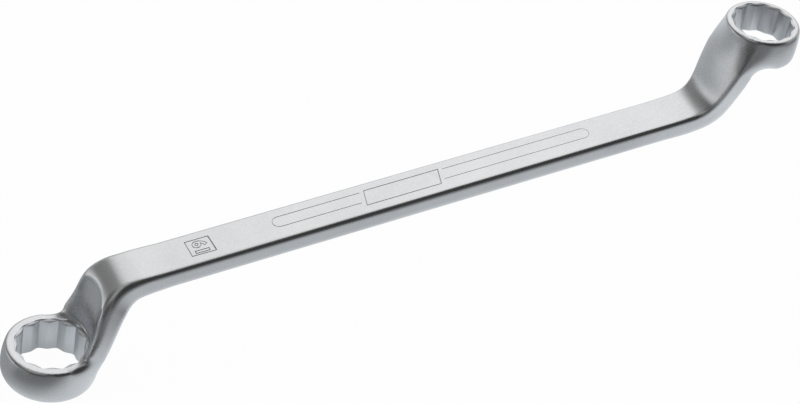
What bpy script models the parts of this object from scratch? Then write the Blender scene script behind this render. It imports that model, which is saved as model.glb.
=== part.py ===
"""Double-ended ring spanner with deeply cranked necks, one forging.

Metres, +Z up. The shank lies along X with its wide face up. The large ring hangs below it at -X and the
small ring stands above it at +X, each with a twelve-point bore. The origin is the centre of the box.
"""
import math
from collections import namedtuple

import bmesh
import bpy
from mathutils import Matrix, Vector

COLLECTION = "ring_spanner"
NODE = "spanner_forging"

# Whole tool: distance between the rings' centres along the shank, and the lean of both rings
CENTRE_DISTANCE = 0.2366
HEAD_TILT = math.radians(9.3)

# Shank at its large and its small end
SHANK_WIDTH_LARGE = 0.0147
SHANK_WIDTH_SMALL = 0.0140
SHANK_THICKNESS_LARGE = 0.0063
SHANK_THICKNESS_SMALL = 0.0061
SHANK_EDGE_RADIUS = 0.0013
BEND_RADIUS = 0.0103

# A ring and its neck. nut is the size across flats, offset is the height of the ring's middle above the
# shank's, bend_inset is the run of the bent neck along the shank, the radii are the outer wall's, and
# wall_share is the height of the widest wall circle from the neck side as a share of the ring's height
Head = namedtuple(
    "Head",
    "nut offset bend_inset height neck_rim_radius wall_radius outer_rim_radius wall_share",
)
LARGE = Head(
    nut=0.0190,
    offset=0.0242,
    bend_inset=0.0205,
    height=0.0117,
    neck_rim_radius=0.0132,
    wall_radius=0.0149,
    outer_rim_radius=0.0129,
    wall_share=0.66,
)
SMALL = Head(
    nut=0.0170,
    offset=0.0233,
    bend_inset=0.0179,
    height=0.0104,
    neck_rim_radius=0.0112,
    wall_radius=0.01205,
    outer_rim_radius=0.01115,
    wall_share=0.52,
)
RIM_EDGE_RADIUS = 0.0005

# Bore: clearance on a nut's flat, depth of the lead-in at the inner points, its margin beyond the corners,
# and the cutter's overrun
BORE_CLEARANCE = 0.0001
LEAD_IN_DEPTH = 0.0004
LEAD_IN_MARGIN = 0.00012
BORE_OVERRUN = 0.018
MERGE_DISTANCE = 0.00001
WALL_COVER = 0.0001

# Height of the neck's end in the ring, from the ring's neck side, as a share of the ring's height
NECK_END_SHARE = 0.93

# Neck sections as shares, from the bend's start to just before the neck's end in the ring
Neck = namedtuple("Neck", "place width breadth flare crown hollow")
# place is along the path, width is the way from the shank's half-width to the ring's wall radius, breadth
# and flare of the flank are over the shank's thickness, and crown of the back and hollow of the inner side
# are over the half-width
LARGE_NECK_SHARES = (
    Neck(-0.28, 0.00, 1.00, 0.00, 0.00, 0.00),
    Neck(0.00, 0.06, 1.10, 0.00, 0.02, 0.00),
    Neck(0.11, 0.17, 1.21, 0.00, 0.05, 0.00),
    Neck(0.24, 0.37, 1.21, 0.00, 0.08, 0.02),
    Neck(0.49, 0.60, 0.98, 0.03, 0.14, 0.15),
    Neck(0.69, 0.71, 0.74, 0.26, 0.22, 0.27),
    Neck(0.82, 0.71, 0.48, 0.62, 0.32, 0.31),
)
SMALL_NECK_SHARES = (
    Neck(-0.28, 0.00, 1.00, 0.00, 0.00, 0.00),
    Neck(0.00, 0.04, 1.10, 0.00, 0.02, 0.00),
    Neck(0.11, 0.10, 1.20, 0.00, 0.03, 0.00),
    Neck(0.24, 0.23, 1.20, 0.00, 0.06, 0.02),
    Neck(0.49, 0.54, 1.04, 0.04, 0.13, 0.12),
    Neck(0.69, 0.70, 0.84, 0.32, 0.19, 0.24),
    Neck(0.82, 0.72, 0.58, 0.66, 0.29, 0.30),
)
END_WIDTH_SHARE = 0.84
END_BREADTH_SHARE = 0.24
END_FLARE_SHARE = 0.9
END_HOLLOW_SHARE = 0.30
LARGEST_EDGE_SHARE = 0.4

# Counts
BORE_POINTS = 12
TURN_STEPS = 48
WALL_STEPS = 5
RIM_STEPS = 3
CORNER_STEPS = 4
FACE_STEPS = 6
SHANK_STEPS = 3
BEND_STEPS = 9
NECK_STEPS = 8

Section = namedtuple("Section", "centre back half_width breadth flare crown hollow")


def chrome_material():
    """Satin chrome plate over steel."""
    material = bpy.data.materials.new("satin_chrome")
    material.use_nodes = True
    shader = material.node_tree.nodes["Principled BSDF"]
    shader.inputs["Base Color"].default_value = (0.72, 0.73, 0.74, 1.0)
    shader.inputs["Metallic"].default_value = 1.0
    shader.inputs["Roughness"].default_value = 0.32
    return material


def add_object(name, data, collection, parent):
    """Object made from a bmesh, which is freed."""
    mesh = bpy.data.meshes.new(name)
    data.to_mesh(mesh)
    data.free()
    item = bpy.data.objects.new(name, mesh)
    item.parent = parent
    collection.objects.link(item)
    return item


def ring_axis():
    """Direction in which a ring's outer face looks, in the small ring's half."""
    return Vector((math.sin(HEAD_TILT), 0.0, math.cos(HEAD_TILT)))


def ring_centre(head):
    """Middle of a ring, in the small ring's half."""
    return Vector((CENTRE_DISTANCE / 2, 0.0, head.offset))


def wall_level(head):
    """Height of the widest circle above the ring's middle."""
    return head.wall_share * head.height - head.height / 2


def corner_radius(head):
    """Radius to the bore's outer corners."""
    return (head.nut / 2 + BORE_CLEARANCE) / math.cos(math.pi / 6)


def inner_radius(head):
    """Radius to the bore's inner points, where its two hexagons cross."""
    return (head.nut / 2 + BORE_CLEARANCE) / math.cos(math.pi / BORE_POINTS)


def fillet(start, corner, end, radius, steps):
    """Points of the arc that rounds a corner, from the side of start to the side of end."""
    before = (start - corner).normalized()
    after = (end - corner).normalized()
    half = before.angle(after) / 2
    reach = radius / math.tan(half)
    middle = corner + (before + after).normalized() * (radius / math.sin(half))
    first = corner + before * reach - middle
    second = corner + after * reach - middle
    turn = math.pi - 2 * half
    points = []
    for step in range(steps + 1):
        angle = turn * step / steps
        points.append(middle + (first * math.sin(turn - angle) + second * math.sin(angle)) / math.sin(turn))
    return points


def crown_rise(across, half_width, crown):
    """Height of the crowned back above its crease."""
    if crown < MERGE_DISTANCE:
        return 0.0
    radius = (half_width ** 2 + crown ** 2) / (2 * crown)
    return math.sqrt(radius ** 2 - across ** 2) - (radius - crown)


def section_outline(section):
    """Closed outline of (across, back) points: hollow inner side, flat flanks and a crowned back."""
    low = -section.breadth / 2 - section.flare
    high = section.breadth / 2
    width = section.half_width
    radius = min(SHANK_EDGE_RADIUS, LARGEST_EDGE_SHARE * section.breadth)
    inner_corner = Vector((width, low))
    crease = Vector((width, high))
    probe = width - radius
    on_crown = Vector((probe, high + crown_rise(probe, width, section.crown)))
    inner_arc = fillet(Vector((0.0, low)), inner_corner, crease, radius, CORNER_STEPS)
    crease_arc = fillet(inner_corner, crease, on_crown, radius, CORNER_STEPS)
    start = inner_arc[0].x
    half = []
    for step in range(FACE_STEPS):
        share = step / FACE_STEPS
        half.append(Vector((start * share, low + section.hollow * (1 - share ** 2))))
    half += inner_arc + crease_arc
    last = crease_arc[-1]
    miss = last.y - high - crown_rise(last.x, width, section.crown)
    for step in range(1, FACE_STEPS + 1):
        across = last.x * (1 - step / FACE_STEPS)
        rise = crown_rise(across, width, section.crown) + miss * (across / last.x) ** 2
        half.append(Vector((across, high + rise)))
    return half + [Vector((-point.x, point.y)) for point in reversed(half[1:-1])]


def smooth_between(rows, place):
    """Smooth value of every column of a table whose first column is the place."""
    last = len(rows) - 1
    index = 0
    while index < last - 1 and place > rows[index + 1][0]:
        index += 1
    left, right = rows[index], rows[index + 1]
    before, after = rows[max(index - 1, 0)], rows[min(index + 2, last)]
    span = right[0] - left[0]
    t = (place - left[0]) / span
    values = []
    for column in range(1, len(left)):
        slope_left = (right[column] - before[column]) / (right[0] - before[0]) * span
        slope_right = (after[column] - left[column]) / (after[0] - left[0]) * span
        value = left[column] * (2 * t ** 3 - 3 * t ** 2 + 1) + slope_left * (t ** 3 - 2 * t ** 2 + t)
        value += right[column] * (3 * t ** 2 - 2 * t ** 3) + slope_right * (t ** 3 - t ** 2)
        values.append(value)
    return values


def wall_radius_at(head, level):
    """Outer radius of a ring at a height above its middle, before its rims are rounded."""
    outwards = level > wall_level(head)
    rim = RIM_EDGE_RADIUS + (head.outer_rim_radius if outwards else head.neck_rim_radius)
    reach = head.height / 2 + (-wall_level(head) if outwards else wall_level(head))
    return head.wall_radius - (head.wall_radius - rim) * ((level - wall_level(head)) / reach) ** 2


def end_section(head, thickness):
    """Last section, inside the ring: its crowned back lies just under the ring's wall."""
    level = NECK_END_SHARE * head.height - head.height / 2
    reach = wall_radius_at(head, level) - WALL_COVER
    half_width = reach * END_WIDTH_SHARE
    crease = math.sqrt(reach ** 2 - half_width ** 2)
    breadth = thickness * END_BREADTH_SHARE
    flare = thickness * END_FLARE_SHARE
    back = Vector((-math.cos(HEAD_TILT), 0.0, math.sin(HEAD_TILT)))
    centre = ring_centre(head) + ring_axis() * level + back * (crease - breadth / 2)
    return Section(centre, back, half_width, breadth, flare, reach - crease, half_width * END_HOLLOW_SHARE)


def half_sections(head, neck_shares, shank_width, thickness):
    """Sections from the end of the plain shank to the inside of the ring, in the small ring's half."""
    end = end_section(head, thickness)
    vertex = Vector((CENTRE_DISTANCE / 2 - head.bend_inset, 0.0, 0.0))
    neck = end.centre - vertex
    bend = math.atan2(neck.z, neck.x)
    tangent = BEND_RADIUS * math.tan(bend / 2)
    arc = BEND_RADIUS * bend
    straight = neck.length - tangent
    path = arc + straight
    half_width = shank_width / 2
    growth = head.wall_radius - half_width
    rows = [row._replace(place=row.place * path) for row in neck_shares]
    end_width = (end.half_width - half_width) / growth
    end_crown = end.crown / end.half_width
    rows.append(Neck(path, end_width, END_BREADTH_SHARE, END_FLARE_SHARE, end_crown, END_HOLLOW_SHARE))
    places = [rows[0].place * (1 - step / SHANK_STEPS) for step in range(SHANK_STEPS)]
    places += [arc * step / BEND_STEPS for step in range(BEND_STEPS + 1)]
    places += [arc + straight * step / NECK_STEPS for step in range(1, NECK_STEPS + 1)]
    sections = []
    for place in places:
        width_share, breadth_share, flare_share, crown_share, hollow_share = smooth_between(rows, place)
        lean = min(max(place, 0.0), arc) / BEND_RADIUS
        if place <= arc:
            run = BEND_RADIUS * math.sin(lean) + min(place, 0.0) - tangent
            centre = vertex + Vector((run, 0.0, BEND_RADIUS * (1 - math.cos(lean))))
        else:
            centre = vertex + neck.normalized() * (tangent + place - arc)
            lean += (math.pi / 2 - HEAD_TILT - bend) * ((place - arc) / straight) ** 2
        back = Vector((-math.sin(lean), 0.0, math.cos(lean)))
        width = half_width + growth * width_share
        flank = (thickness * breadth_share, thickness * flare_share)
        sections.append(Section(centre, back, width, *flank, width * crown_share, width * hollow_share))
    return sections


def section_points(section):
    """Outline of a section in space, from the middle of its inner side towards +Y."""
    side = Vector((0.0, 1.0, 0.0))
    outline = section_outline(section)
    return [section.centre + side * point.x + section.back * point.y for point in outline]


def half_turned(points):
    """Outline turned half round about Y, from the middle of what is now its lower side towards +Y."""
    turn = Matrix.Rotation(math.pi, 3, "Y")
    moved = [turn @ point for point in points]
    top = len(moved) // 2
    return moved[top::-1] + moved[:top:-1]


def shank_and_necks(collection, parent):
    """One loft from inside the large ring to inside the small ring, closed at both ends."""
    large = half_sections(LARGE, LARGE_NECK_SHARES, SHANK_WIDTH_LARGE, SHANK_THICKNESS_LARGE)
    small = half_sections(SMALL, SMALL_NECK_SHARES, SHANK_WIDTH_SMALL, SHANK_THICKNESS_SMALL)
    outlines = [half_turned(section_points(section)) for section in reversed(large)]
    outlines += [section_points(section) for section in small]
    data = bmesh.new()
    loops = [[data.verts.new(point) for point in outline] for outline in outlines]
    for near, far in zip(loops[:-1], loops[1:]):
        for index in range(len(near)):
            data.faces.new((near[index - 1], near[index], far[index], far[index - 1]))
    data.faces.new(loops[0])
    data.faces.new(loops[-1])
    bmesh.ops.recalc_face_normals(data, faces=data.faces)
    return add_object(NODE, data, collection, parent)


def ring_profile(head):
    """Outer outline of a ring as (radius, height) points, from its outer face down to its neck side."""
    half = head.height / 2
    level = wall_level(head)
    heights = [half - (half - level) * step / WALL_STEPS for step in range(WALL_STEPS)]
    heights += [level - (half + level) * step / WALL_STEPS for step in range(WALL_STEPS + 1)]
    wall = [Vector((wall_radius_at(head, height), height)) for height in heights]
    outer = fillet(Vector((0.0, half)), wall[0], wall[1], RIM_EDGE_RADIUS, RIM_STEPS)
    inner = fillet(wall[-2], wall[-1], Vector((0.0, -half)), RIM_EDGE_RADIUS, RIM_STEPS)
    return [Vector((0.0, half))] + outer + wall[1:-1] + inner + [Vector((0.0, -half))]


def stand_on_ring(item, head, half_turn):
    """Places a helper that was made around Z on a ring's axis and hides it."""
    item.matrix_local = (
        Matrix.Rotation(math.pi if half_turn else 0.0, 4, "Y")
        @ Matrix.Translation(ring_centre(head))
        @ Matrix.Rotation(HEAD_TILT, 4, "Y")
    )
    item.hide_render = True
    item.display_type = "WIRE"
    return item


def ring_blank(name, head, half_turn, collection, parent):
    """Solid turned blank of a ring, before its bore is cut."""
    data = bmesh.new()
    verts = [data.verts.new((point.x, 0.0, point.y)) for point in ring_profile(head)]
    for first, second in zip(verts[:-1], verts[1:]):
        data.edges.new((first, second))
    half_step = Matrix.Rotation(math.pi / TURN_STEPS, 3, "Z")
    bmesh.ops.rotate(data, verts=data.verts, matrix=half_step)
    item = add_object(name, data, collection, parent)
    screw = item.modifiers.new("turned", "SCREW")
    screw.axis = "Z"
    screw.angle = 2 * math.pi
    screw.steps = TURN_STEPS
    screw.render_steps = TURN_STEPS
    screw.use_merge_vertices = True
    screw.merge_threshold = MERGE_DISTANCE
    return stand_on_ring(item, head, half_turn)


def bore_cutter(name, head, half_turn, collection, parent):
    """Twelve-point broach through the ring, with a corner on the long axis.

    It widens to a circle at both faces, which breaks the bore's inner points in a shallow lead-in, and
    clears the root of the neck beyond the ring.
    """
    face = head.height / 2
    mouth = (corner_radius(head) + LEAD_IN_MARGIN,) * 2
    star = (corner_radius(head), inner_radius(head))
    lead_in = face - LEAD_IN_DEPTH
    levels = (
        (face + BORE_OVERRUN, mouth),
        (face + LEAD_IN_MARGIN, mouth),
        (lead_in, star),
        (-lead_in, star),
        (-face - LEAD_IN_MARGIN, mouth),
        (-face - BORE_OVERRUN, mouth),
    )
    data = bmesh.new()
    loops = []
    for level, radii in levels:
        loop = []
        for index in range(2 * BORE_POINTS):
            radius = radii[index % 2]
            angle = math.pi * index / BORE_POINTS
            loop.append(data.verts.new((radius * math.cos(angle), radius * math.sin(angle), level)))
        loops.append(loop)
    for upper, lower in zip(loops[:-1], loops[1:]):
        for index in range(len(upper)):
            data.faces.new((upper[index - 1], upper[index], lower[index], lower[index - 1]))
    data.faces.new(loops[0])
    data.faces.new(loops[-1])
    bmesh.ops.recalc_face_normals(data, faces=data.faces)
    bmesh.ops.triangulate(data, faces=data.faces)
    return stand_on_ring(add_object(name, data, collection, parent), head, half_turn)


def add_boolean(item, tool, operation):
    """Exact Boolean, kept on the object."""
    modifier = item.modifiers.new(tool.name, "BOOLEAN")
    modifier.operation = operation
    modifier.solver = "EXACT"
    modifier.object = tool


def shade(item, material):
    """Material and smooth shading that breaks at the bore's corners."""
    item.data.materials.append(material)
    item.data.shade_smooth()
    item.data.set_sharp_from_angle(angle=math.radians(30))


def build():
    """Builds the forging and puts the centre of its box at the origin."""
    for item in list(bpy.data.objects):
        bpy.data.objects.remove(item, do_unlink=True)
    parts = bpy.data.collections.new(COLLECTION)
    cutters = bpy.data.collections.new("cutters")
    for collection in (parts, cutters):
        bpy.context.scene.collection.children.link(collection)
    frame = bpy.data.objects.new("tool_frame", None)
    parts.objects.link(frame)
    forging = shank_and_necks(parts, frame)
    heads = (("large", LARGE, True), ("small", SMALL, False))
    for name, head, half_turn in heads:
        blank = ring_blank(name + "_ring_blank", head, half_turn, cutters, frame)
        add_boolean(forging, blank, "UNION")
    for name, head, half_turn in heads:
        cutter = bore_cutter(name + "_bore_cutter", head, half_turn, cutters, frame)
        add_boolean(forging, cutter, "DIFFERENCE")
    shade(forging, chrome_material())
    bpy.context.view_layer.update()
    solid = forging.evaluated_get(bpy.context.evaluated_depsgraph_get())
    corners = [solid.matrix_world @ Vector(corner) for corner in solid.bound_box]
    low = Vector([min(corner[axis] for corner in corners) for axis in range(3)])
    high = Vector([max(corner[axis] for corner in corners) for axis in range(3)])
    frame.location = -(low + high) / 2


build()
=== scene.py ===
"""Looks of the double-ended ring spanner: a finely formed forging in satin chrome, its camera and light."""
import math
from collections import namedtuple

import bmesh
import bpy
import numpy as np
from mathutils import Matrix, Vector
from mathutils.bvhtree import BVHTree

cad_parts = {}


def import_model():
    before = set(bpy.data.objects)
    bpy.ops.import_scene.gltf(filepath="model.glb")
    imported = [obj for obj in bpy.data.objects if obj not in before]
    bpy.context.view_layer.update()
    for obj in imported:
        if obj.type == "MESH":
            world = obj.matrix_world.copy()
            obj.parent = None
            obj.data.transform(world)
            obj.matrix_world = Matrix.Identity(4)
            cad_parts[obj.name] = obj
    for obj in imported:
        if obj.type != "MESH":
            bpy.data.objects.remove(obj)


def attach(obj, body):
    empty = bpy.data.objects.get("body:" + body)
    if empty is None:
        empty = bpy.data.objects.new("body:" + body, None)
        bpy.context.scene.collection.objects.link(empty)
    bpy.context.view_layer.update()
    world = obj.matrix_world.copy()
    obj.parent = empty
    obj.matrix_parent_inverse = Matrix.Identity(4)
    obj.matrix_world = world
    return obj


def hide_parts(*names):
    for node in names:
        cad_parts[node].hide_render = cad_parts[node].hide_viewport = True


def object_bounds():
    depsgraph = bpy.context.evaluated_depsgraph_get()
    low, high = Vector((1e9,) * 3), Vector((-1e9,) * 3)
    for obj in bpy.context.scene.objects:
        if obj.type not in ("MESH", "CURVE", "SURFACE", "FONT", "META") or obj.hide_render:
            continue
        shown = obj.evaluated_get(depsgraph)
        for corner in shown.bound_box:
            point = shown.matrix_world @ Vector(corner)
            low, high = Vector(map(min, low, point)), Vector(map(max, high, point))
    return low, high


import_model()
CAD_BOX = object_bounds()
MM = 0.001
NODE = "spanner_forging"

# Whole tool
CENTRE_DISTANCE = 0.2366
HEAD_TILT = math.radians(9.3)
SHANK_WIDTH_LARGE = 0.0147
SHANK_WIDTH_SMALL = 0.0140
SHANK_THICKNESS_LARGE = 0.0063
SHANK_THICKNESS_SMALL = 0.0061
SHANK_EDGE_RADIUS = 0.0013
BEND_RADIUS = 0.0103
BEND_EASE = 0.0044
BEND_ROUND = 1.1
BEND_ROUND_PLACE = 0.24
BEND_ROUND_REACH = 0.42
RIM_EDGE_RADIUS = 0.0005
RIM_ROUND = 0.0008
OUTER_RIM_ROUND = 0.0010
BORE_CLEARANCE = 0.0001
LEAD_IN_DEPTH = 0.0004
LEAD_IN_MARGIN = 0.00012
RELIEF_MARGIN = 0.0005
RELIEF_LEAN = 0.16
RELIEF_OVERLAP = 0.00005
RELIEF_HEIGHT = 0.018
WALL_COVER = 0.0001
WALL_TRIM = 0.00003
NECK_END_SHARE = 0.93
WALL_POWER = 2
SMALL_OUTER_WALL_POWER = 3
FLAT_CROWN = 0.00001
SHARP_ANGLE = math.radians(30)
HEAD_FIELDS = "nut offset bend_inset height neck_rim_radius wall_radius outer_rim_radius wall_share"
Head = namedtuple("Head", HEAD_FIELDS)
LARGE = Head(0.0190, 0.0242, 0.0205, 0.0117, 0.0132, 0.0149, 0.0129, 0.66)
SMALL = Head(0.0170, 0.0233, 0.0179, 0.0104, 0.0112, 0.01205, 0.01115, 0.52)
Neck = namedtuple("Neck", "place width breadth flare crown hollow")
LARGE_NECK_SHARES = (
    Neck(-0.28, 0.00, 1.00, 0.00, 0.00, 0.00),
    Neck(0.00, 0.06, 1.14, 0.00, 0.02, 0.00),
    Neck(0.11, 0.17, 1.30, 0.00, 0.05, 0.00),
    Neck(0.24, 0.37, 1.29, 0.00, 0.08, 0.03),
    Neck(0.49, 0.59, 0.96, 0.03, 0.13, 0.17),
    Neck(0.69, 0.68, 0.64, 0.34, 0.21, 0.27),
    Neck(0.82, 0.66, 0.40, 0.70, 0.32, 0.31),
)
SMALL_NECK_SHARES = (
    Neck(-0.28, 0.00, 1.00, 0.00, 0.00, 0.00),
    Neck(0.00, 0.04, 1.10, 0.00, 0.02, 0.00),
    Neck(0.11, 0.10, 1.20, 0.00, 0.03, 0.00),
    Neck(0.24, 0.23, 1.20, 0.00, 0.06, 0.02),
    Neck(0.49, 0.54, 1.04, 0.04, 0.13, 0.12),
    Neck(0.69, 0.70, 0.84, 0.32, 0.19, 0.24),
    Neck(0.82, 0.72, 0.58, 0.66, 0.29, 0.30),
)
END_WIDTH_SHARE = 0.82
END_BREADTH_SHARE = 0.24
END_FLARE_SHARE = 0.9
END_HOLLOW_SHARE = 0.30
LARGEST_EDGE_SHARE = 0.4

# Fineness of the visible forging
BORE_POINTS = 12
TURN_STEPS = 144
WALL_STEPS = 14
RIM_STEPS = 6
CORNER_STEPS = 7
FACE_STEPS = 14
SHANK_STEPS = 6
BEND_STEPS = 26
NECK_STEPS = 30
PATH_STEPS = 24
VOXEL = 0.3 * MM
JUNCTION_REACH = 3.8 * MM
JUNCTION_SMOOTH = 2.2 * MM
HOLLOW_SMOOTH = 3.0 * MM
ALL_OVER_SMOOTH = 0.36 * MM
SMOOTH_STEP = 0.7
# Where smoothing starts and is full: over the wall, below the outer rim, above the ring, round the mouth
SMOOTH_MARGIN = 8 * MM
BELOW_RIM = (0.7 * MM, 2.6 * MM)
ABOVE_RING = (0.1 * MM, 1.2 * MM)
ROUND_MOUTH = (1.4 * MM, 2.6 * MM)
WEB_LEVEL = -0.5 * MM
WEB_STEPS = 8
WEB_ANGLES = (math.radians(98), math.radians(140))
WEB_DEPTHS = (0.05 * MM, 0.6 * MM, 4.0 * MM, 8.0 * MM)

# Bores: soft inner points, and levels of the cutter at a face and at the end of the lead-in. Each level has
# its rise, and how much wider it is at the twelve points and between them
POINT_SHARES = (0.12, 0.05)
POINT_SHIFT_SHARE = 0.10
POINT_SHIFT = 0.6 * MM
MOUTH_LEVELS = (
    (9.0 * MM, -3.5 * MM, -3.5 * MM),
    (1.0 * MM, 0.1 * MM, 0.1 * MM),
    (0.02 * MM, 0.1 * MM, 0.1 * MM),
    (-0.06 * MM, 0.0, -0.25 * MM),
)
LEAD_IN_LEVELS = (
    (0.1 * MM, 0.02 * MM, 0.22 * MM),
    (-0.08 * MM, 0.0, 0.05 * MM),
    (-0.3 * MM, 0.0, 0.0),
)

# Marks on the shank, in millimetres from its middle: corners of the frames, ends of the long frame; shares of
# a line's width and depth for heavier and finer lines
SIZE_FRAME = ((-72.3, -3.1), (-64.7, -3.2), (-65.1, 3.5), (-72.5, 3.5))
MIDDLE_FRAME = ((-16.0, -3.0), (8.5, -3.0), (10.0, 3.4), (-14.6, 3.4))
LONG_FRAME_Y = (-1.4, 3.0)
LONG_FRAME_ENDS = ((-45.3, (-17.1, -16.1)), (60.1, (10.3, 11.3)))
ROUND_END_STEPS = 14
LINE_WIDTH = 0.26 * MM
LINE_DEPTH = 0.10 * MM
SIZE_EDGE_SHARES = (1.6, 1.6)
MIDDLE_EDGE_SHARES = (1.3, 1.4)
LONG_FRAME_SHARES = (0.8, 0.7)
CORNER_COSINE = 0.5
UPPER_SIZE = "19"
LOWER_SIZE = "17"
SIZE_PLACE = (-68.6 * MM, 0.15 * MM)
DIGIT_SIZE = 5.7 * MM
DIGIT_SPACING = 1.12
DIGIT_STEPS = 3
DIGIT_LINE_WIDTH = 0.27 * MM
DIGIT_LINE_DEPTH = 0.13 * MM
DIGIT_BOLD = 0.22 * MM
HOLE_SHARE = 0.5
DIGIT_CORNER_COSINE = 0.6

# Satin chrome: scale, detail and stretch of the noises, colours and roughness from low to high, fine bumps
NOISE_RANGE = (0.3, 0.7)
SLOW_NOISE = (70.0, 3.0)
MOTTLE_NOISE = (1100.0, 3.0)
GRAIN_NOISE = (5200.0, 2.0)
LINES_NOISE = (2600.0, 2.0, (0.06, 1.0, 1.0))
BROACH_NOISE = (2200.0, 2.0, (1.0, 1.0, 0.03))
BORE_EDGE = (0.02 * MM, 0.06 * MM)
PLATED = ((0.540, 0.546, 0.555), (0.612, 0.615, 0.620))
BROACHED = ((0.560, 0.575, 0.592), (0.670, 0.680, 0.695))
SATIN_ROUGHNESS = (0.23, 0.31)
BROACHED_ROUGHNESS = (0.34, 0.46)
GRAIN_BUMP = 0.12
STREAK_BUMP = 0.16
BUMP_DEPTH = 0.00002

# The painted pool of light on the floor in front, which only metal sees: the spanner's height over it, and
# its brightness, at the large ring and at the shank, and what the small ring adds to the shank's; how far it
# reaches, and the least light beyond it
RING_START = 0.092
POOL_HEIGHTS = (0.019, 0.031, 0.018)
POOL_LIGHTS = (0.95, 1.00, 0.10)
POOL_END = 0.02
POOL_REACH = 1.9
POOL_POWER = 3.0
POOL_LEAST = 0.22
POOL_TINT = (0.955, 1.0, 1.04)
# Painted floor light behind the spanner, which only metal sees: where the back starts, places along it and
# the floor's painted brightness there; the floor far to the left
BACK_START = (-0.004, 0.012)
BACK_PLACES = (-0.03, 0.09)
BACK_LIGHTS = (0.42, 0.85)
FAR_LEFT = (0.33, 0.50)
FAR_LEFT_LIGHT = 0.98
FLOOR_REACH = 1.1
FLOOR_GAP = 0.0002
FLOOR_COLOUR = (0.88, 0.88, 0.88)
FLOOR_ROUGHNESS = 0.9
FLOOR_WHITE_SHARE = 0.97

# A patch of the tent: direction that it lies in, cosines where it starts and is full, and its brightness
Patch = namedtuple("Patch", "x y z start full light")
TENT_RADIUS = 1.6
TENT_STEPS = 4
TENT_LIGHT = 0.45
LIT = (
    Patch(0.46, 0.68, 0.57, 0.70, 0.98, 1.33),
    Patch(-0.86, 0.49, -0.13, 0.88, 0.985, 1.08),
)
DARK = (
    Patch(0.29, -0.67, 0.68, 0.72, 0.86, 0.05),
    Patch(0.33, -0.95, 0.15, 0.80, 0.92, 0.06),
    Patch(0.36, -0.12, 0.92, 0.94, 0.975, 0.06),
    Patch(-0.60, 0.62, 0.50, 0.74, 0.97, 0.32),
    Patch(-0.82, 0.22, 0.53, 0.85, 0.97, 0.14),
    Patch(-0.88, -0.46, 0.05, 0.78, 0.97, 0.22),
    Patch(-0.66, -0.72, 0.22, 0.84, 0.96, 0.10),
)

# Lamps: name, place, size and brightness; the world's light on the spanner; the camera
LAMPS = (
    ("key", (0.35, 0.7, 0.9), 0.8, 1.0),
    ("fill", (-0.8, -0.3, 0.7), 0.6, 0.5),
)
WORLD_LIGHT = 0.6
SENSOR_WIDTH = 36.0
LENS = 127.148
CLIP_START = 0.05
CAMERA_PLACE = (-0.24709, -0.5884, 0.583805)
CAMERA_TURN = (math.radians(47.432), math.radians(0.487), math.radians(-23.008))

Section = namedtuple("Section", "centre back half_width breadth flare crown hollow edge")


# The forging's blank: the shank with both necks, and the rings

def ring_axis():
    return Vector((math.sin(HEAD_TILT), 0.0, math.cos(HEAD_TILT)))


def ring_centre(head):
    return Vector((CENTRE_DISTANCE / 2, 0.0, head.offset))


def wall_level(head):
    return head.wall_share * head.height - head.height / 2


def corner_radius(head):
    return (head.nut / 2 + BORE_CLEARANCE) / math.cos(math.pi / 6)


def inner_radius(head):
    return (head.nut / 2 + BORE_CLEARANCE) / math.cos(math.pi / BORE_POINTS)


def fillet(start, corner, end, radius, steps):
    before = (start - corner).normalized()
    after = (end - corner).normalized()
    half = before.angle(after) / 2
    reach = radius / math.tan(half)
    middle = corner + (before + after).normalized() * (radius / math.sin(half))
    first = corner + before * reach - middle
    second = corner + after * reach - middle
    turn = math.pi - 2 * half
    points = []
    for step in range(steps + 1):
        angle = turn * step / steps
        points.append(middle + (first * math.sin(turn - angle) + second * math.sin(angle)) / math.sin(turn))
    return points


def crown_rise(across, half_width, crown):
    if crown < FLAT_CROWN:
        return 0.0
    radius = (half_width ** 2 + crown ** 2) / (2 * crown)
    return math.sqrt(radius ** 2 - across ** 2) - (radius - crown)


def section_outline(section):
    low = -section.breadth / 2 - section.flare
    high = section.breadth / 2
    width = section.half_width
    radius = min(SHANK_EDGE_RADIUS, LARGEST_EDGE_SHARE * section.breadth)
    inner_corner = Vector((width, low))
    crease = Vector((width, high))
    probe = width - radius
    on_crown = Vector((probe, high + crown_rise(probe, width, section.crown)))
    inner_edge = min(section.edge, LARGEST_EDGE_SHARE * section.breadth)
    inner_arc = fillet(Vector((0.0, low)), inner_corner, crease, inner_edge, CORNER_STEPS)
    crease_arc = fillet(inner_corner, crease, on_crown, radius, CORNER_STEPS)
    start = inner_arc[0].x
    half = []
    for step in range(FACE_STEPS):
        share = step / FACE_STEPS
        half.append(Vector((start * share, low + section.hollow * (1 - share ** 2))))
    half += inner_arc + crease_arc
    last = crease_arc[-1]
    miss = last.y - high - crown_rise(last.x, width, section.crown)
    for step in range(1, FACE_STEPS + 1):
        across = last.x * (1 - step / FACE_STEPS)
        rise = crown_rise(across, width, section.crown) + miss * (across / last.x) ** 2
        half.append(Vector((across, high + rise)))
    return half + [Vector((-point.x, point.y)) for point in reversed(half[1:-1])]


def smooth_between(rows, place):
    last = len(rows) - 1
    index = 0
    while index < last - 1 and place > rows[index + 1][0]:
        index += 1
    left, right = rows[index], rows[index + 1]
    before, after = rows[max(index - 1, 0)], rows[min(index + 2, last)]
    span = right[0] - left[0]
    t = (place - left[0]) / span
    values = []
    for column in range(1, len(left)):
        slope_left = (right[column] - before[column]) / (right[0] - before[0]) * span
        slope_right = (after[column] - left[column]) / (after[0] - left[0]) * span
        value = left[column] * (2 * t ** 3 - 3 * t ** 2 + 1) + slope_left * (t ** 3 - 2 * t ** 2 + t)
        value += right[column] * (3 * t ** 2 - 2 * t ** 3) + slope_right * (t ** 3 - t ** 2)
        values.append(value)
    return values


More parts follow.
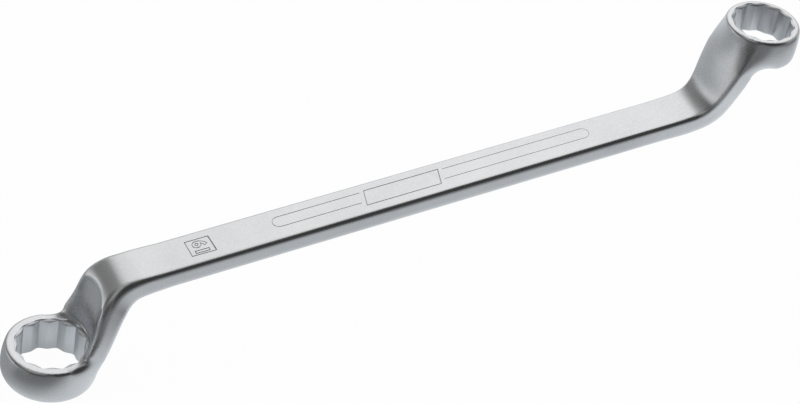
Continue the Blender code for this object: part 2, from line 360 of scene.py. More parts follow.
def wall_radius_at(head, level):
    outwards = level > wall_level(head)
    rim = RIM_EDGE_RADIUS + (head.outer_rim_radius if outwards else head.neck_rim_radius)
    reach = head.height / 2 + (-wall_level(head) if outwards else wall_level(head))
    share = abs(level - wall_level(head)) / reach
    power = SMALL_OUTER_WALL_POWER if outwards and head is SMALL else WALL_POWER
    return head.wall_radius - WALL_TRIM - (head.wall_radius - rim) * share ** power


def end_section(head, thickness):
    level = NECK_END_SHARE * head.height - head.height / 2
    reach = wall_radius_at(head, level) - WALL_COVER
    half_width = reach * END_WIDTH_SHARE
    crease = math.sqrt(reach ** 2 - half_width ** 2)
    breadth = thickness * END_BREADTH_SHARE
    flare = thickness * END_FLARE_SHARE
    back = Vector((-math.cos(HEAD_TILT), 0.0, math.sin(HEAD_TILT)))
    centre = ring_centre(head) + ring_axis() * level + back * (crease - breadth / 2)
    flank = (half_width, breadth, flare)
    return Section(centre, back, *flank, reach - crease, half_width * END_HOLLOW_SHARE, SHANK_EDGE_RADIUS)


def turn_share(place, arc):
    """Share of the bend's turn that is made at a place; the bend starts and ends softly."""
    def eased(run):
        if abs(run) >= BEND_EASE:
            return max(run, 0.0)
        return (run + BEND_EASE) ** 2 / (4 * BEND_EASE)
    return (eased(place) - eased(place - arc)) / arc


def eased_path(start, places, arc, bend, end):
    """Centres along the shank, the bend and the neck, and the turn made at each of them."""
    centres, turns = [], []
    point, before = start.copy(), places[0]
    for place in places:
        for step in range(PATH_STEPS):
            turn = bend * turn_share(before + (place - before) * (step + 0.5) / PATH_STEPS, arc)
            ahead = Vector((math.cos(turn), 0.0, math.sin(turn)))
            point = point + ahead * ((place - before) / PATH_STEPS)
        before = place
        centres.append(point)
        turns.append(bend * turn_share(place, arc))
    miss = end - centres[-1]
    shares = [max(place, 0.0) / places[-1] for place in places]
    return [centre + miss * share for centre, share in zip(centres, shares)], turns


def half_sections(head, neck_shares, shank_width, thickness):
    end = end_section(head, thickness)
    vertex = Vector((CENTRE_DISTANCE / 2 - head.bend_inset, 0.0, 0.0))
    neck = end.centre - vertex
    bend = math.atan2(neck.z, neck.x)
    tangent = BEND_RADIUS * math.tan(bend / 2)
    arc = BEND_RADIUS * bend
    straight = neck.length - tangent
    path = arc + straight
    half_width = shank_width / 2
    growth = head.wall_radius - half_width
    rows = [row._replace(place=row.place * path) for row in neck_shares]
    end_width = (end.half_width - half_width) / growth
    end_crown = end.crown / end.half_width
    rows.append(Neck(path, end_width, END_BREADTH_SHARE, END_FLARE_SHARE, end_crown, END_HOLLOW_SHARE))
    places = [rows[0].place * (1 - step / SHANK_STEPS) for step in range(SHANK_STEPS)]
    places += [arc * step / BEND_STEPS for step in range(BEND_STEPS + 1)]
    places += [arc + straight * step / NECK_STEPS for step in range(1, NECK_STEPS + 1)]
    start = vertex + Vector((places[0] - tangent, 0.0, 0.0))
    centres, turns = eased_path(start, places, arc, bend, end.centre)
    sections = []
    for place, centre, turn in zip(places, centres, turns):
        width_share, breadth_share, flare_share, crown_share, hollow_share = smooth_between(rows, place)
        past_bend = max(place - arc, 0.0) / straight
        lean = turn + (math.pi / 2 - HEAD_TILT - bend) * past_bend ** 2
        back = Vector((-math.sin(lean), 0.0, math.cos(lean)))
        width = half_width + growth * width_share
        form = (thickness * breadth_share, thickness * flare_share, width * crown_share, width * hollow_share)
        from_bend = min(abs(place - BEND_ROUND_PLACE * path) / (BEND_ROUND_REACH * path), 1.0)
        edge = SHANK_EDGE_RADIUS * (1 + BEND_ROUND * (1 - from_bend ** 2) ** 2)
        sections.append(Section(centre, back, width, *form, edge))
    return sections


def section_points(section):
    side = Vector((0.0, 1.0, 0.0))
    outline = section_outline(section)
    return [section.centre + side * point.x + section.back * point.y for point in outline]


def half_turned(points):
    turn = Matrix.Rotation(math.pi, 3, "Y")
    moved = [turn @ point for point in points]
    top = len(moved) // 2
    return moved[top::-1] + moved[:top:-1]


def skin(data, loops):
    """Walls between closed loops of points, and a cap at each end."""
    rows = [[data.verts.new(point) for point in loop] for loop in loops]
    for near, far in zip(rows[:-1], rows[1:]):
        for index in range(len(near)):
            data.faces.new((near[index - 1], near[index], far[index], far[index - 1]))
    data.faces.new(rows[0])
    data.faces.new(rows[-1])
    bmesh.ops.recalc_face_normals(data, faces=data.faces)


def add_object(name, data):
    mesh = bpy.data.meshes.new(name)
    data.to_mesh(mesh)
    data.free()
    item = bpy.data.objects.new(name, mesh)
    bpy.context.scene.collection.objects.link(item)
    return item


def loft():
    large = half_sections(LARGE, LARGE_NECK_SHARES, SHANK_WIDTH_LARGE, SHANK_THICKNESS_LARGE)
    small = half_sections(SMALL, SMALL_NECK_SHARES, SHANK_WIDTH_SMALL, SHANK_THICKNESS_SMALL)
    outlines = [half_turned(section_points(section)) for section in reversed(large)]
    outlines += [section_points(section) for section in small]
    data = bmesh.new()
    skin(data, outlines)
    return add_object("loft", data)


def ring_place(head, half_turn):
    """Place of a ring, from its own axis to the tool."""
    return (
        Matrix.Rotation(math.pi if half_turn else 0.0, 4, "Y")
        @ Matrix.Translation(ring_centre(head))
        @ Matrix.Rotation(HEAD_TILT, 4, "Y")
    )


def turned(name, profile, place, steps):
    """Solid of revolution of (radius, height) points whose first and last lie on the axis."""
    data = bmesh.new()
    ends = [data.verts.new((0.0, 0.0, profile[0][1])), data.verts.new((0.0, 0.0, profile[-1][1]))]
    rows = []
    for radius, height in profile[1:-1]:
        angles = [2 * math.pi * (step + 0.5) / steps for step in range(steps)]
        rows.append([data.verts.new((radius * math.cos(a), radius * math.sin(a), height)) for a in angles])
    for near, far in zip(rows[:-1], rows[1:]):
        for index in range(steps):
            data.faces.new((near[index - 1], near[index], far[index], far[index - 1]))
    for index in range(steps):
        data.faces.new((rows[0][index - 1], rows[0][index], ends[0]))
        data.faces.new((rows[-1][index - 1], rows[-1][index], ends[1]))
    bmesh.ops.recalc_face_normals(data, faces=data.faces)
    data.transform(place)
    return add_object(name, data)


def ring_blank(name, head, half_turn):
    half = head.height / 2
    level = wall_level(head)
    heights = [half - (half - level) * step / WALL_STEPS for step in range(WALL_STEPS)]
    heights += [level - (half + level) * step / WALL_STEPS for step in range(WALL_STEPS + 1)]
    wall = [Vector((wall_radius_at(head, height), height)) for height in heights]
    outer = fillet(Vector((0.0, half)), wall[0], wall[3], OUTER_RIM_ROUND, RIM_STEPS)
    inner = fillet(wall[-3], wall[-1], Vector((0.0, -half)), RIM_ROUND, RIM_STEPS)
    profile = [Vector((0.0, half))] + outer + wall[3:-2] + inner + [Vector((0.0, -half))]
    return turned(name, [tuple(point) for point in profile], ring_place(head, half_turn), TURN_STEPS)


def webs(head, half_turn, neck_shares, shank_width, thickness):
    """Smooth webs at both sides of a neck, from its inner edges to the ring's rim."""
    place = ring_place(head, half_turn)
    inverse = ring_place(head, False).inverted()
    sections = half_sections(head, neck_shares, shank_width, thickness)
    face = -head.height / 2
    root = min(sections, key=lambda section: abs((inverse @ section.centre).z - face - WEB_LEVEL))
    flank = [inverse @ point for point in section_points(root)]
    made = []
    for side in (1, -1):
        reach = max(point.y * side for point in flank)
        corners = [point for point in flank if point.y * side > reach - SHANK_EDGE_RADIUS]
        for step in range(WEB_STEPS + 1):
            angle = WEB_ANGLES[0] + (WEB_ANGLES[1] - WEB_ANGLES[0]) * step / WEB_STEPS
            for depth in WEB_DEPTHS:
                radius = wall_radius_at(head, face + depth)
                if depth < RIM_EDGE_RADIUS:
                    radius -= RIM_EDGE_RADIUS
                across = side * radius * math.sin(angle)
                corners.append(Vector((radius * math.cos(angle), across, face + depth)))
        data = bmesh.new()
        for corner in corners:
            data.verts.new(corner)
        bmesh.ops.convex_hull(data, input=data.verts)
        inside = [part for part in data.verts if not part.link_faces]
        bmesh.ops.delete(data, geom=inside, context="VERTS")
        bmesh.ops.recalc_face_normals(data, faces=data.faces)
        data.transform(place)
        made.append(add_object("web", data))
    return made


def boolean(item, tool, operation, solver):
    """Applies one Boolean and removes its tool."""
    modifier = item.modifiers.new("cut", "BOOLEAN")
    modifier.operation = operation
    modifier.solver = solver
    modifier.object = tool
    apply_modifiers(item)
    bpy.data.objects.remove(tool, do_unlink=True)


def apply_modifiers(item):
    bpy.context.view_layer.update()
    solid = item.evaluated_get(bpy.context.evaluated_depsgraph_get())
    mesh = bpy.data.meshes.new_from_object(solid)
    item.modifiers.clear()
    item.data = mesh


def relief(head, half_turn):
    """Smooth round relief in the root of the neck, above the ring's neck side, that widens upwards."""
    radius = corner_radius(head) + RELIEF_MARGIN
    face = -head.height / 2 + RELIEF_OVERLAP
    top = face - RELIEF_HEIGHT
    profile = [(0.0, face), (radius, face), (radius + RELIEF_LEAN * RELIEF_HEIGHT, top), (0.0, top)]
    return turned("relief", profile, ring_place(head, half_turn), TURN_STEPS)


def tree_of(item):
    data = bmesh.new()
    data.from_mesh(item.data)
    tree = BVHTree.FromBMesh(data)
    data.free()
    return tree


def smoothed(mesh, weights, length):
    """Moves each vertex towards the middle of its neighbours, by its weight, over a length."""
    rounds = math.ceil(2 * (length / VOXEL) ** 2 / SMOOTH_STEP)
    weights = weights * SMOOTH_STEP
    count = len(mesh.vertices)
    points = np.empty(count * 3)
    mesh.vertices.foreach_get("co", points)
    points = points.reshape(-1, 3)
    edges = np.empty(len(mesh.edges) * 2, dtype=np.int64)
    mesh.edges.foreach_get("vertices", edges)
    first, second = edges[::2], edges[1::2]
    degree = np.bincount(first, minlength=count) + np.bincount(second, minlength=count)
    for _ in range(rounds):
        middle = np.empty_like(points)
        for axis in range(3):
            total = np.bincount(first, weights=points[second, axis], minlength=count)
            total += np.bincount(second, weights=points[first, axis], minlength=count)
            middle[:, axis] = total / degree
        points += (middle - points) * weights[:, None]
    mesh.vertices.foreach_set("co", points.ravel())
    mesh.update()


def share_of(value, start, end):
    """0 at start, 1 at end and beyond."""
    return min(max((value - start) / (end - start), 0.0), 1.0)


def forged_weights(item, loft_tree, ring_trees):
    """How much each vertex is smoothed: fully where a neck runs into its ring and in the neck's hollow."""
    heads = ((LARGE, True), (SMALL, False))
    junctions = np.zeros(len(item.data.vertices))
    hollows = np.zeros(len(item.data.vertices))
    for (head, half_turn), ring_tree in zip(heads, ring_trees):
        inverse = ring_place(head, half_turn).inverted()
        limit = head.wall_radius + SMOOTH_MARGIN
        mouth = corner_radius(head)
        for vertex in item.data.vertices:
            local = inverse @ vertex.co
            radius = math.hypot(local.x, local.y)
            if local.length > 2 * limit or radius > limit:
                continue
            to_ring = ring_tree.find_nearest(vertex.co)[3]
            to_loft = loft_tree.find_nearest(vertex.co)[3]
            near = 1 - share_of(max(to_ring, to_loft), 0.0, JUNCTION_REACH)
            below_rim = share_of(head.height / 2 - local.z, *BELOW_RIM)
            junctions[vertex.index] = near * below_rim
            above_ring = share_of(-head.height / 2 - local.z, *ABOVE_RING)
            inside = 1 - share_of(radius, mouth + ROUND_MOUTH[0], mouth + ROUND_MOUTH[1])
            hollows[vertex.index] = above_ring * inside
    return junctions, hollows


def star_loop(radii, level):
    """One level of the twelve-point bore, with its inner points a little rounded."""
    outer, inner = radii
    corners = []
    for index in range(2 * BORE_POINTS):
        radius = (outer, inner)[index % 2]
        angle = math.pi * index / BORE_POINTS
        corners.append(Vector((radius * math.cos(angle), radius * math.sin(angle), 0.0)))
    points = []
    for index, corner in enumerate(corners):
        if index % 2 == 0:
            points.append(corner)
            continue
        for near, shares in ((index - 1, POINT_SHARES), ((index + 1) % len(corners), POINT_SHARES[::-1])):
            for share in shares:
                outwards = corner.normalized() * (POINT_SHIFT_SHARE - share) * POINT_SHIFT
                points.append(corner + (corners[near] - corner) * share + outwards)
    return [(point.x, point.y, level) for point in points]


def bore(head, half_turn):
    """Broach through a ring, opening to a circle at both faces over a softly rounded mouth."""
    face = head.height / 2
    corner, inner = corner_radius(head), inner_radius(head)
    mouth = corner + LEAD_IN_MARGIN
    lead_in = face - LEAD_IN_DEPTH
    levels = [(face + rise, mouth + wide, mouth + narrow) for rise, wide, narrow in MOUTH_LEVELS]
    levels += [(lead_in + rise, corner + wide, inner + narrow) for rise, wide, narrow in LEAD_IN_LEVELS]
    levels += [(-level, outer, small) for level, outer, small in reversed(levels)]
    data = bmesh.new()
    skin(data, [star_loop((outer, small), level) for level, outer, small in levels])
    bmesh.ops.triangulate(data, faces=data.faces)
    data.transform(ring_place(head, half_turn))
    return add_object("bore", data)


# Marks on the shank: a frame with the size on each wide face, a middle frame and a long frame

def top_height(x):
    """Half thickness of the shank at a place along it."""
    reach = CENTRE_DISTANCE / 2
    share = (x + reach) / (2 * reach)
    return (SHANK_THICKNESS_LARGE * (1 - share) + SHANK_THICKNESS_SMALL * share) / 2


def groove(points, width, depth, closed=True):
    """Cutter of a shallow groove along a line on the top face."""
    count = len(points)
    data = bmesh.new()
    rows = []
    for index, point in enumerate(points):
        after = points[(index + 1) % count] if closed else points[min(index + 1, count - 1)]
        before = points[index - 1] if closed else points[max(index - 1, 0)]
        step_on = point - before if after == point else after - point
        step_here = step_on if before == point else point - before
        ahead = step_on.normalized()
        along = (ahead + step_here.normalized()).normalized()
        stretch = 1 / max(along.dot(ahead), CORNER_COSINE)
        side = Vector((-along.y, along.x)) * width * stretch
        top = top_height(point.x)
        left, right = point + side, point - side
        rows.append([
            data.verts.new((left.x, left.y, top + depth)),
            data.verts.new((point.x, point.y, top - depth)),
            data.verts.new((right.x, right.y, top + depth)),
        ])
    for index in range(0 if closed else 1, count):
        near, far = rows[index - 1], rows[index]
        for step in range(3):
            data.faces.new((near[step - 1], near[step], far[step], far[step - 1]))
    if not closed:
        data.faces.new(rows[0])
        data.faces.new(rows[-1])
    bmesh.ops.recalc_face_normals(data, faces=data.faces)
    bmesh.ops.triangulate(data, faces=data.faces)
    return add_object("groove", data)


def long_frame(outer, inner):
    """Open line of a long frame: from its inner end round its far round end and back, in millimetres."""
    low, high = LONG_FRAME_Y
    radius = (high - low) / 2
    middle = (low + high) / 2
    outwards = 1 if outer > inner[0] else -1
    points = [Vector((inner[0], low))]
    for step in range(ROUND_END_STEPS + 1):
        angle = -math.pi / 2 + math.pi * step / ROUND_END_STEPS
        x = outer - outwards * radius + outwards * radius * math.cos(angle)
        points.append(Vector((x, middle + radius * math.sin(angle))))
    points.append(Vector((inner[1], high)))
    return [point * MM for point in points]


def line(points, shares=(1, 1), closed=True):
    """Groove of a frame's line, with shares of the usual width and depth."""
    return groove(points, shares[0] * LINE_WIDTH, shares[1] * LINE_DEPTH, closed)


def digits(text):
    return [groove(loop, DIGIT_LINE_WIDTH, DIGIT_LINE_DEPTH) for loop in size_outlines(text)]


def marks():
    """Cutters of the shank's shallow marks: sizes on both wide faces, the other frames on top."""
    size = [Vector(corner) * MM for corner in SIZE_FRAME]
    middle = [Vector(corner) * MM for corner in MIDDLE_FRAME]
    cutters = [
        line(size),
        line(size[1:3], SIZE_EDGE_SHARES, closed=False),
        line(middle),
        line(middle[1:3], MIDDLE_EDGE_SHARES, closed=False),
    ]
    cutters += [line(long_frame(*ends), LONG_FRAME_SHARES, closed=False) for ends in LONG_FRAME_ENDS]
    cutters += digits(UPPER_SIZE)
    under = [line(size)] + digits(LOWER_SIZE)
    for cutter in under:
        cutter.data.transform(Matrix.Rotation(math.pi, 4, "Y"))
    return cutters + under


def size_outlines(text):
    """Outlines of a size number in its frame, reading across the shank."""
    curve = bpy.data.curves.new("size", "FONT")
    curve.body = text
    curve.size = DIGIT_SIZE
    curve.space_character = DIGIT_SPACING
    curve.fill_mode = "NONE"
    curve.resolution_u = DIGIT_STEPS
    item = bpy.data.objects.new("size", curve)
    bpy.context.scene.collection.objects.link(item)
    solid = item.evaluated_get(bpy.context.evaluated_depsgraph_get())
    lines = bpy.data.meshes.new_from_object(solid)
    bpy.data.objects.remove(item, do_unlink=True)
    after = {}
    for edge in lines.edges:
        for near, far in (edge.vertices, reversed(edge.vertices)):
            after.setdefault(near, []).append(far)
    points = [Vector(vertex.co[:2]) for vertex in lines.vertices]
    low, high = span(points)
    middle = (low + high) / 2
    loops = []
    left = set(after)
    while left:
        loop = [left.pop()]
        while True:
            ahead = [index for index in after[loop[-1]] if index in left]
            if not ahead:
                break
            left.discard(ahead[0])
            loop.append(ahead[0])
        placed = [points[index] - middle for index in loop]
        loops.append([Vector((-p.y, p.x)) for p in placed])
    shift = Vector(SIZE_PLACE)
    return [[point + shift for point in widened(loop, holds(loops, loop))] for loop in loops]


def span(loop):
    """Least and greatest corner of a flat loop."""
    return [Vector([pick(p[axis] for p in loop) for axis in range(2)]) for pick in (min, max)]


def holds(loops, loop):
    """Whether another loop lies round this one, which then is a hole in a digit."""
    low, high = span(loop)
    for other in loops:
        outer_low, outer_high = span(other)
        if outer_low.x < low.x and outer_low.y < low.y and outer_high.x > high.x and outer_high.y > high.y:
            return True
    return False


def widened(loop, hole):
    """The loop of a digit moved out by DIGIT_BOLD, or in where it is a hole."""
    count = len(loop)
    area = sum(loop[i - 1].x * loop[i].y - loop[i].x * loop[i - 1].y for i in range(count))
    move = DIGIT_BOLD * (1 if area > 0 else -1) * (-HOLE_SHARE if hole else 1)
    points = []
    for index, point in enumerate(loop):
        before = (point - loop[index - 1]).normalized()
        after = (loop[(index + 1) % count] - point).normalized()
        along = (before + after).normalized()
        step = move / max(along.dot(after), DIGIT_CORNER_COSINE)
        points.append(point + Vector((along.y, -along.x)) * step)
    return points


def join(item, other):
    data = bmesh.new()
    data.from_mesh(item.data)
    data.from_mesh(other.data)
    data.to_mesh(item.data)
    data.free()
    bpy.data.objects.remove(other, do_unlink=True)


def forging():
    """The finely formed forging, with the centre of its box at the origin."""
    body = loft()
    heads = ((LARGE, True), (SMALL, False))
    for head, half_turn in heads:
        boolean(body, relief(head, half_turn), "DIFFERENCE", "EXACT")
    blanks = [ring_blank("ring", head, half_turn) for head, half_turn in heads]
    loft_tree = tree_of(body)
    ring_trees = [tree_of(blank) for blank in blanks]
    corners = [vertex.co for item in [body] + blanks for vertex in item.data.vertices]
    low = Vector([min(corner[axis] for corner in corners) for axis in range(3)])
    high = Vector([max(corner[axis] for corner in corners) for axis in range(3)])
    for blank in blanks:
        join(body, blank)
    large = (LARGE, True, LARGE_NECK_SHARES, SHANK_WIDTH_LARGE, SHANK_THICKNESS_LARGE)
    small = (SMALL, False, SMALL_NECK_SHARES, SHANK_WIDTH_SMALL, SHANK_THICKNESS_SMALL)
    for web in webs(*large) + webs(*small):
        join(body, web)
    remesh = body.modifiers.new("even", "REMESH")
    remesh.mode = "VOXEL"
    remesh.voxel_size = VOXEL
    apply_modifiers(body)
    junctions, hollows = forged_weights(body, loft_tree, ring_trees)
    smoothed(body.data, hollows, HOLLOW_SMOOTH)
    smoothed(body.data, junctions, JUNCTION_SMOOTH)
    smoothed(body.data, np.ones(len(junctions)), ALL_OVER_SMOOTH)
    for head, half_turn in heads:
        boolean(body, bore(head, half_turn), "DIFFERENCE", "MANIFOLD")
    for cutter in marks():
        boolean(body, cutter, "DIFFERENCE", "MANIFOLD")
    body.data.transform(Matrix.Translation(-(low + high) / 2))
    return body, -(low + high) / 2


# Materials

class Nodes:
    """Short way to add and link shader nodes."""

    def __init__(self, tree):
        self.tree = tree

    def add(self, kind, values=(), **settings):
        node = self.tree.nodes.new(kind)
        for name, value in settings.items():
            setattr(node, name, value)
        for key, value in dict(values).items():
            node.inputs[key].default_value = value
        return node

    def link(self, start, end):
        self.tree.links.new(start, end)

    def put(self, value, socket):
        """Links a socket's value, or sets a number or a colour."""
        if isinstance(value, float):
            socket.default_value = value
        elif isinstance(value, tuple):
            socket.default_value = (*value, 1.0)
        else:
            self.link(value, socket)


def new_material(name):
    material = bpy.data.materials.new(name)
    material.use_nodes = True
    return material, Nodes(material.node_tree), material.node_tree.nodes["Principled BSDF"]


def math_node(nodes, operation, first, second):
    """Result of one operation on two values, each a socket or a number."""
    node = nodes.add("ShaderNodeMath", operation=operation)
    nodes.put(first, node.inputs[0])
    nodes.put(second, node.inputs[1])
    return node.outputs[0]


def ramp(nodes, value, start, end, low, high):
    """Even change from one level to another between two values."""
    settings = {"From Min": start, "From Max": end, "To Min": low, "To Max": high}
    node = nodes.add("ShaderNodeMapRange", settings)
    nodes.link(value, node.inputs["Value"])
    return node.outputs["Result"]


def length_of(nodes, x, y):
    """Distance of a place from an axis."""
    flat = nodes.add("ShaderNodeCombineXYZ")
    nodes.link(x, flat.inputs["X"])
    nodes.link(y, flat.inputs["Y"])
    length = nodes.add("ShaderNodeVectorMath", operation="LENGTH")
    nodes.link(flat.outputs[0], length.inputs[0])
    return length.outputs["Value"]


def spread(nodes, value, low=0.0, high=1.0):
    """A noise value stretched between two levels."""
    return ramp(nodes, value, *NOISE_RANGE, low, high)


def noise(nodes, place, scale, detail, stretch=None):
    """Noise value from a place, drawn out along an axis where a stretch is given."""
    texture = nodes.add("ShaderNodeTexNoise", {"Scale": scale, "Detail": detail})
    if stretch:
        mapping = nodes.add("ShaderNodeMapping", {"Scale": stretch})
        nodes.link(place, mapping.inputs["Vector"])
        place = mapping.outputs["Vector"]
    nodes.link(place, texture.inputs["Vector"])
    return texture.outputs["Fac"]


def mixed(nodes, share, low, high):
    """A value between two others."""
    mix = nodes.add("ShaderNodeMix")
    nodes.link(share, mix.inputs[0])
    nodes.put(low, mix.inputs[2])
    nodes.put(high, mix.inputs[3])
    return mix.outputs[0]


def tinted(nodes, share, low, high):
    """A colour between two others."""
    mix = nodes.add("ShaderNodeMix", data_type="RGBA")
    nodes.link(share, mix.inputs[0])
    colours = [socket for socket in mix.inputs if socket.type == "RGBA"]
    for socket, value in zip(colours, (low, high)):
        nodes.put(value, socket)
    return [socket for socket in mix.outputs if socket.type == "RGBA"][0]


def in_bores(nodes, along_bores, shift):
    """1 inside both broached bores, 0 elsewhere."""
    parts = nodes.add("ShaderNodeSeparateXYZ")
    nodes.link(along_bores, parts.inputs[0])
    inside = []
    for head, half_turn in ((LARGE, True), (SMALL, False)):
        middle = ring_place(head, half_turn).translation + shift
        middle = Matrix.Rotation(-HEAD_TILT, 3, "Y") @ middle
        across = math_node(nodes, "SUBTRACT", parts.outputs["X"], middle.x)
        radius = length_of(nodes, across, parts.outputs["Y"])
        start, end = [corner_radius(head) + edge for edge in BORE_EDGE]
        inside.append(ramp(nodes, radius, start, end, 1.0, 0.0))
    return math_node(nodes, "MAXIMUM", *inside)


def chrome(shift):
    """Satin chrome: fine grain, faint polishing lines along the shank, broached streaks in the bores."""
    material, nodes, shader = new_material("satin_chrome")
    place = nodes.add("ShaderNodeTexCoord").outputs["Object"]
    turn = nodes.add("ShaderNodeMapping", {"Rotation": (0.0, -HEAD_TILT, 0.0)})
    nodes.link(place, turn.inputs["Vector"])
    along_bores = turn.outputs["Vector"]
    bores = in_bores(nodes, along_bores, shift)
    slow = noise(nodes, place, *SLOW_NOISE)
    mottle = noise(nodes, place, *MOTTLE_NOISE)
    grain = noise(nodes, place, *GRAIN_NOISE)
    lines = noise(nodes, place, *LINES_NOISE)
    broached = noise(nodes, along_bores, *BROACH_NOISE)
    patchy = mixed(nodes, mottle, spread(nodes, slow), spread(nodes, mottle))
    streaky = mixed(nodes, bores, patchy, spread(nodes, broached))
    colour = tinted(nodes, bores, tinted(nodes, streaky, *PLATED), tinted(nodes, streaky, *BROACHED))
    nodes.link(colour, shader.inputs["Base Color"])
    satin = spread(nodes, grain, *SATIN_ROUGHNESS)
    dull = spread(nodes, broached, *BROACHED_ROUGHNESS)
    nodes.link(mixed(nodes, bores, satin, dull), shader.inputs["Roughness"])
    shader.inputs["Metallic"].default_value = 1.0
    fine = nodes.add("ShaderNodeBump", {"Strength": GRAIN_BUMP, "Distance": BUMP_DEPTH})
    nodes.link(grain, fine.inputs["Height"])
    streak = nodes.add("ShaderNodeBump", {"Strength": STREAK_BUMP, "Distance": BUMP_DEPTH})
    nodes.link(mixed(nodes, bores, lines, broached), streak.inputs["Height"])
    nodes.link(fine.outputs["Normal"], streak.inputs["Normal"])
    nodes.link(streak.outputs["Normal"], shader.inputs["Normal"])
    return material


def background_rays(nodes, path):
    """1 for rays that see the background: camera, glossy and transmission rays."""
    seen = math_node(nodes, "MAXIMUM", path.outputs["Is Camera Ray"], path.outputs["Is Glossy Ray"])
    return math_node(nodes, "MAXIMUM", seen, path.outputs["Is Transmission Ray"])


def painted_pool_level(nodes):
    """Painted light of the floor as metal sees it: a pool under the spanner that fades to the front, and the
    back.
    """
    parts = nodes.add("ShaderNodeSeparateXYZ")
    nodes.link(nodes.add("ShaderNodeTexCoord").outputs["Object"], parts.inputs[0])
    along, across = parts.outputs["X"], parts.outputs["Y"]
    end = CAD_BOX[1].x
    rise = ramp(nodes, along, -end, -RING_START, POOL_HEIGHTS[0], POOL_HEIGHTS[1])
    above = math_node(nodes, "ADD", rise, ramp(nodes, along, RING_START, end, 0.0, POOL_HEIGHTS[2]))
    beside = math_node(nodes, "SUBTRACT", math_node(nodes, "ABSOLUTE", along, 0.0), end - POOL_END)
    away = length_of(nodes, math_node(nodes, "MAXIMUM", beside, 0.0), across)
    slope = math_node(nodes, "DIVIDE", away, above)
    fall = math_node(nodes, "POWER", math_node(nodes, "DIVIDE", slope, POOL_REACH), POOL_POWER)
    near = ramp(nodes, along, -end, -RING_START, POOL_LIGHTS[0], POOL_LIGHTS[1])
    light = math_node(nodes, "ADD", near, ramp(nodes, along, RING_START, end, 0.0, POOL_LIGHTS[2]))
    pool = math_node(nodes, "DIVIDE", light, math_node(nodes, "ADD", fall, 1.0))
    front = math_node(nodes, "MAXIMUM", pool, POOL_LEAST)
    back = ramp(nodes, along, *BACK_PLACES, *BACK_LIGHTS)
    level = mixed(nodes, ramp(nodes, across, *BACK_START, 0.0, 1.0), front, back)
    leftwards = math_node(nodes, "SUBTRACT", across, along)
    return mixed(nodes, ramp(nodes, leftwards, *FAR_LEFT, 0.0, 1.0), level, FAR_LEFT_LIGHT)


def floor_material():
    """White floor: white to the eye, with a painted pool of light under the spanner that its metal shows."""
    material, nodes, shader = new_material("white_floor")
    shader.inputs["Base Color"].default_value = (*FLOOR_COLOUR, 1.0)
    shader.inputs["Roughness"].default_value = FLOOR_ROUGHNESS
    path = nodes.add("ShaderNodeLightPath")
    to_eye = path.outputs["Is Camera Ray"]
    share = math_node(nodes, "MULTIPLY", background_rays(nodes, path), FLOOR_WHITE_SHARE)
    white = nodes.add("ShaderNodeEmission")
    # Glossy rays see the painted, tinted pool of light; the eye sees plain white
    nodes.link(mixed(nodes, to_eye, painted_pool_level(nodes), 1.0), white.inputs["Strength"])
    nodes.link(tinted(nodes, to_eye, POOL_TINT, (1.0, 1.0, 1.0)), white.inputs["Color"])
    mix = nodes.add("ShaderNodeMixShader")
    nodes.link(share, mix.inputs[0])
    nodes.link(shader.outputs[0], mix.inputs[1])
    nodes.link(white.outputs[0], mix.inputs[2])
    nodes.link(mix.outputs[0], material.node_tree.nodes["Material Output"].inputs["Surface"])
    return material


# Studio: a white room with a dark half of a light tent, seen by metal only

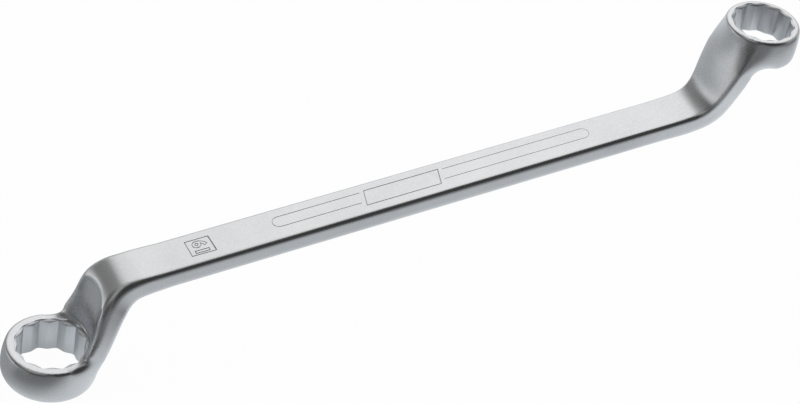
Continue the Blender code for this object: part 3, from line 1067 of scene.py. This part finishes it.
def tent():
    """Light tent round the spanner: dark in front and overhead, with lit panels behind."""
    data = bmesh.new()
    bmesh.ops.create_icosphere(data, subdivisions=TENT_STEPS, radius=TENT_RADIUS)
    item = add_object("light_tent", data)
    item.visible_camera = False
    item.visible_diffuse = False
    item.visible_shadow = False
    item.visible_transmission = False
    material, nodes, _ = new_material("tent_cloth")
    place = nodes.add("ShaderNodeTexCoord").outputs["Object"]
    unit = nodes.add("ShaderNodeVectorMath", operation="NORMALIZE")
    nodes.link(place, unit.inputs[0])
    level = TENT_LIGHT
    for patch in DARK + LIT:
        direction = Vector(patch[:3]).normalized()
        facing = nodes.add("ShaderNodeVectorMath", {1: direction}, operation="DOT_PRODUCT")
        nodes.link(unit.outputs[0], facing.inputs[0])
        edge = nodes.add("ShaderNodeMapRange", {"From Min": patch.start, "From Max": patch.full})
        edge.interpolation_type = "SMOOTHSTEP"
        nodes.link(facing.outputs["Value"], edge.inputs["Value"])
        level = mixed(nodes, edge.outputs["Result"], level, patch.light)
    glow = nodes.add("ShaderNodeEmission")
    nodes.link(level, glow.inputs["Strength"])
    nodes.link(glow.outputs[0], material.node_tree.nodes["Material Output"].inputs["Surface"])
    item.data.materials.append(material)


def floor():
    data = bmesh.new()
    bmesh.ops.create_grid(data, x_segments=1, y_segments=1, size=FLOOR_REACH)
    item = add_object("floor", data)
    item.location.z = CAD_BOX[0].z - FLOOR_GAP
    item.data.materials.append(floor_material())


def area_light(name, place, size, strength):
    """Soft square light that looks at the spanner; strength is its brightness."""
    light = bpy.data.lights.new(name, "AREA")
    light.shape = "SQUARE"
    light.size = size
    light.energy = strength * math.pi * size ** 2
    item = bpy.data.objects.new(name, light)
    item.location = place
    item.rotation_euler = (-Vector(place)).to_track_quat("-Z", "Y").to_euler()
    item.visible_camera = False
    item.visible_glossy = False
    bpy.context.scene.collection.objects.link(item)


def world():
    setting = bpy.data.worlds.new("studio")
    setting.use_nodes = True
    bpy.context.scene.world = setting
    nodes = Nodes(setting.node_tree)
    background = setting.node_tree.nodes["Background"]
    background.inputs["Color"].default_value = (1.0, 1.0, 1.0, 1.0)
    seen = background_rays(nodes, nodes.add("ShaderNodeLightPath"))
    nodes.link(ramp(nodes, seen, 0.0, 1.0, WORLD_LIGHT, 1.0), background.inputs["Strength"])


def camera():
    lens = bpy.data.cameras.new("camera")
    lens.sensor_width = SENSOR_WIDTH
    lens.lens = LENS
    lens.clip_start = CLIP_START
    item = bpy.data.objects.new("camera", lens)
    item.location = CAMERA_PLACE
    item.rotation_euler = CAMERA_TURN
    bpy.context.scene.collection.objects.link(item)
    bpy.context.scene.camera = item


def main():
    body, shift = forging()
    body.name = "forging_visual"
    body.data.materials.clear()
    body.data.materials.append(chrome(shift))
    body.data.shade_smooth()
    body.data.set_sharp_from_angle(angle=SHARP_ANGLE)
    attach(body, "root")
    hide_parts(NODE)
    floor()
    tent()
    world()
    for lamp in LAMPS:
        area_light(*lamp)
    camera()
    bpy.context.scene.view_settings.view_transform = "Standard"


main()
